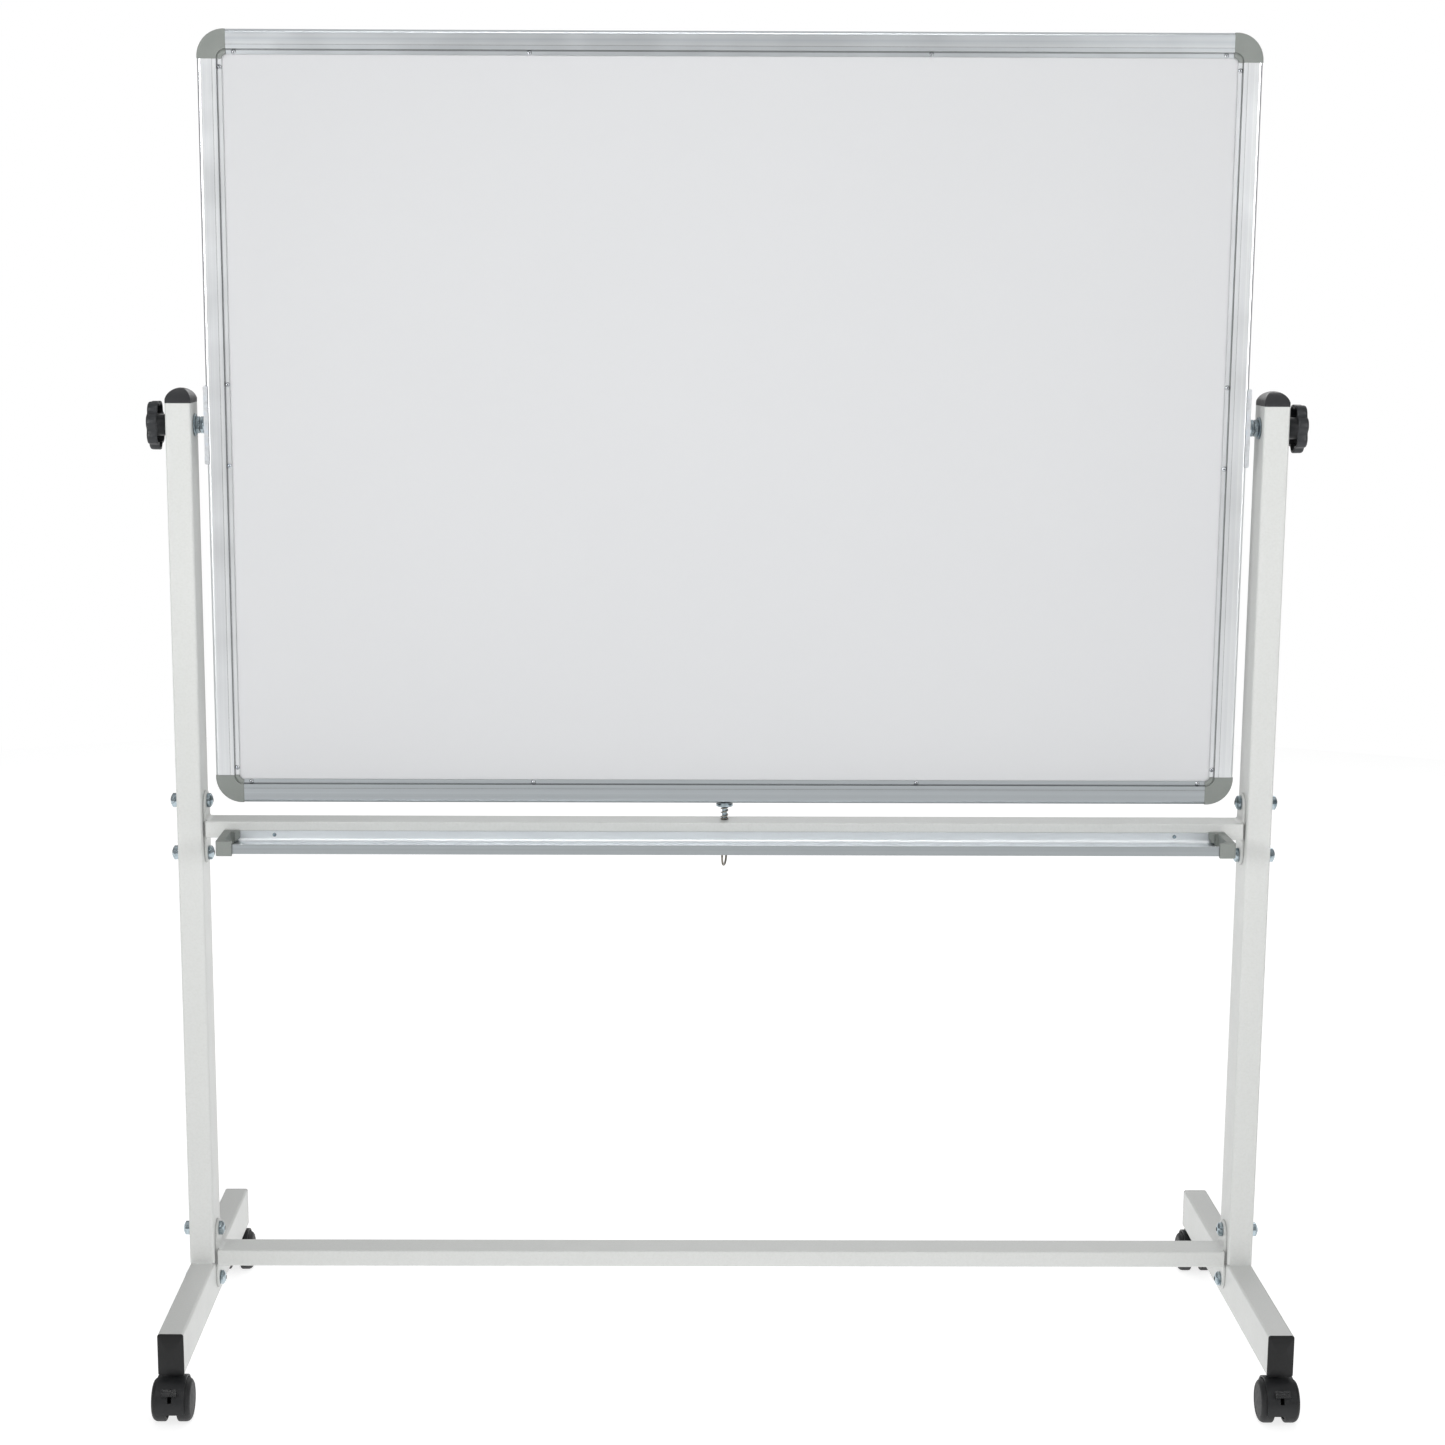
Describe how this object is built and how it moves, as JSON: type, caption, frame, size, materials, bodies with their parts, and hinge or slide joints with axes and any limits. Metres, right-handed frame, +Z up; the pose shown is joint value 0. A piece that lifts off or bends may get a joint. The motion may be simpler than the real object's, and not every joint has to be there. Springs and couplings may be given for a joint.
{
  "type": "rolling whiteboard",
  "caption": "Double-sided framed writing board that turns end over end in a steel stand with braked casters, a pen tray and a spring lock.",
  "frame": {"origin": "on the floor under the middle of the stand", "axes": "+X to the right seen from the front, -Y towards the user, +Z up"},
  "size_m": [1.3446, 0.5296, 1.572],
  "materials": {
    "powder_coat": "off-white powder coat, fine texture",
    "black_cap": "black moulded plastic, satin",
    "zinc": "bright zinc-plated steel",
    "spring_steel": "dark spring steel",
    "anodised": "satin anodised extrusion",
    "grey_plastic": "grey-green moulded plastic",
    "writing_surface": "glossy white lacquered steel",
    "fibreboard": "brown fibreboard",
    "knob_plastic": "black moulded plastic, fine texture",
    "brass_insert": "machined brass",
    "caster_plastic": "black nylon",
    "wheel_plastic": "dark grey nylon",
    "axle_steel": "drawn steel",
    "pedal_plastic": "dark grey nylon"
  },
  "bodies": {
    "stand": {"upright_left": "powder_coat", "upright_right": "powder_coat", "upright_caps": "black_cap", "foot_left": "powder_coat", "foot_right": "powder_coat", "foot_end_caps": "black_cap", "crossbar_upper": "powder_coat", "crossbar_lower": "powder_coat", "crossbar_end_plates": "powder_coat", "crossbar_bolts": "zinc", "crossbar_nuts": "zinc", "pen_tray": "anodised", "tray_end_left": "grey_plastic", "tray_end_right": "grey_plastic", "tray_screws": "zinc", "caster_stems": "zinc", "lock_spring": "spring_steel"},
    "board": {"board_core": "fibreboard", "writing_sheet_front": "writing_surface", "writing_sheet_back": "writing_surface", "rail_top": "anodised", "rail_bottom": "anodised", "rail_left": "anodised", "rail_right": "anodised", "corner_cap_top_left": "grey_plastic", "corner_cap_top_right": "grey_plastic", "corner_cap_bottom_left": "grey_plastic", "corner_cap_bottom_right": "grey_plastic", "frame_screws": "zinc", "pivot_plates": "zinc", "pivot_plate_screws": "zinc", "pivot_bolts": "zinc", "pivot_nuts": "zinc", "pivot_washers": "zinc"},
    "left_knob": {"knob_left": "knob_plastic", "knob_insert_left": "brass_insert"},
    "right_knob": {"knob_right": "knob_plastic", "knob_insert_right": "brass_insert"},
    "lock": {"lock_pin": "zinc"},
    "ring": {"pull_ring": "spring_steel"},
    "front_left_caster": {"front_left_hood": "caster_plastic", "front_left_axle": "axle_steel"},
    "front_left_outer_wheel": {"front_left_wheel_outer": "wheel_plastic"},
    "front_left_inner_wheel": {"front_left_wheel_inner": "wheel_plastic"},
    "front_left_pedal": {"front_left_brake": "pedal_plastic"},
    "front_right_caster": {"front_right_hood": "caster_plastic", "front_right_axle": "axle_steel"},
    "front_right_outer_wheel": {"front_right_wheel_outer": "wheel_plastic"},
    "front_right_inner_wheel": {"front_right_wheel_inner": "wheel_plastic"},
    "front_right_pedal": {"front_right_brake": "pedal_plastic"},
    "rear_left_caster": {"rear_left_hood": "caster_plastic", "rear_left_axle": "axle_steel"},
    "rear_left_outer_wheel": {"rear_left_wheel_outer": "wheel_plastic"},
    "rear_left_inner_wheel": {"rear_left_wheel_inner": "wheel_plastic"},
    "rear_left_pedal": {"rear_left_brake": "pedal_plastic"},
    "rear_right_caster": {"rear_right_hood": "caster_plastic", "rear_right_axle": "axle_steel"},
    "rear_right_outer_wheel": {"rear_right_wheel_outer": "wheel_plastic"},
    "rear_right_inner_wheel": {"rear_right_wheel_inner": "wheel_plastic"},
    "rear_right_pedal": {"rear_right_brake": "pedal_plastic"}
  },
  "joints": [
    {"name": "board_tilt", "type": "hinge", "parent": "stand", "child": "board", "pos_m": [0, 0, 1.126], "axis": [1, 0, 0], "continuous": true},
    {"name": "left_knob_turn", "type": "hinge", "parent": "board", "child": "left_knob", "pos_m": [-0.66, 0, 1.126], "axis": [-1, 0, 0], "continuous": true},
    {"name": "right_knob_turn", "type": "hinge", "parent": "board", "child": "right_knob", "pos_m": [0.66, 0, 1.126], "axis": [1, 0, 0], "continuous": true},
    {"name": "lock_pull", "type": "slide", "parent": "stand", "child": "lock", "axis": [0, 0, -1], "range_m": [0, 0.009], "stiffness_N_per_m": 500, "springref_m": -0.012, "deforming": ["lock_spring"]},
    {"name": "ring_swing", "type": "hinge", "parent": "lock", "child": "ring", "pos_m": [0, 0, 0.626], "axis": [0.2419, 0.9703, 0], "range_deg": [-75, 75]},
    {"name": "front_left_swivel", "type": "hinge", "parent": "stand", "child": "front_left_caster", "pos_m": [-0.6355, -0.215, 0.05], "axis": [0, 0, 1], "continuous": true},
    {"name": "front_left_outer_roll", "type": "hinge", "parent": "front_left_caster", "child": "front_left_outer_wheel", "pos_m": [-0.6355, -0.235, 0.025], "axis": [1, 0, 0], "continuous": true},
    {"name": "front_left_inner_roll", "type": "hinge", "parent": "front_left_caster", "child": "front_left_inner_wheel", "pos_m": [-0.6355, -0.235, 0.025], "axis": [1, 0, 0], "continuous": true},
    {"name": "front_left_brake_press", "type": "hinge", "parent": "front_left_caster", "child": "front_left_pedal", "pos_m": [-0.6355, -0.235, 0.025], "axis": [1, 0, 0], "range_deg": [0, 13]},
    {"name": "front_right_swivel", "type": "hinge", "parent": "stand", "child": "front_right_caster", "pos_m": [0.6355, -0.215, 0.05], "axis": [0, 0, 1], "continuous": true},
    {"name": "front_right_outer_roll", "type": "hinge", "parent": "front_right_caster", "child": "front_right_outer_wheel", "pos_m": [0.6355, -0.235, 0.025], "axis": [1, 0, 0], "continuous": true},
    {"name": "front_right_inner_roll", "type": "hinge", "parent": "front_right_caster", "child": "front_right_inner_wheel", "pos_m": [0.6355, -0.235, 0.025], "axis": [1, 0, 0], "continuous": true},
    {"name": "front_right_brake_press", "type": "hinge", "parent": "front_right_caster", "child": "front_right_pedal", "pos_m": [0.6355, -0.235, 0.025], "axis": [1, 0, 0], "range_deg": [0, 13]},
    {"name": "rear_left_swivel", "type": "hinge", "parent": "stand", "child": "rear_left_caster", "pos_m": [-0.6355, 0.215, 0.05], "axis": [0, 0, 1], "continuous": true},
    {"name": "rear_left_outer_roll", "type": "hinge", "parent": "rear_left_caster", "child": "rear_left_outer_wheel", "pos_m": [-0.6355, 0.235, 0.025], "axis": [1, 0, 0], "continuous": true},
    {"name": "rear_left_inner_roll", "type": "hinge", "parent": "rear_left_caster", "child": "rear_left_inner_wheel", "pos_m": [-0.6355, 0.235, 0.025], "axis": [1, 0, 0], "continuous": true},
    {"name": "rear_left_brake_press", "type": "hinge", "parent": "rear_left_caster", "child": "rear_left_pedal", "pos_m": [-0.6355, 0.235, 0.025], "axis": [-1, 0, 0], "range_deg": [0, 13]},
    {"name": "rear_right_swivel", "type": "hinge", "parent": "stand", "child": "rear_right_caster", "pos_m": [0.6355, 0.215, 0.05], "axis": [0, 0, 1], "continuous": true},
    {"name": "rear_right_outer_roll", "type": "hinge", "parent": "rear_right_caster", "child": "rear_right_outer_wheel", "pos_m": [0.6355, 0.235, 0.025], "axis": [1, 0, 0], "continuous": true},
    {"name": "rear_right_inner_roll", "type": "hinge", "parent": "rear_right_caster", "child": "rear_right_inner_wheel", "pos_m": [0.6355, 0.235, 0.025], "axis": [1, 0, 0], "continuous": true},
    {"name": "rear_right_brake_press", "type": "hinge", "parent": "rear_right_caster", "child": "rear_right_pedal", "pos_m": [0.6355, 0.235, 0.025], "axis": [-1, 0, 0], "range_deg": [0, 13]}
  ]
}
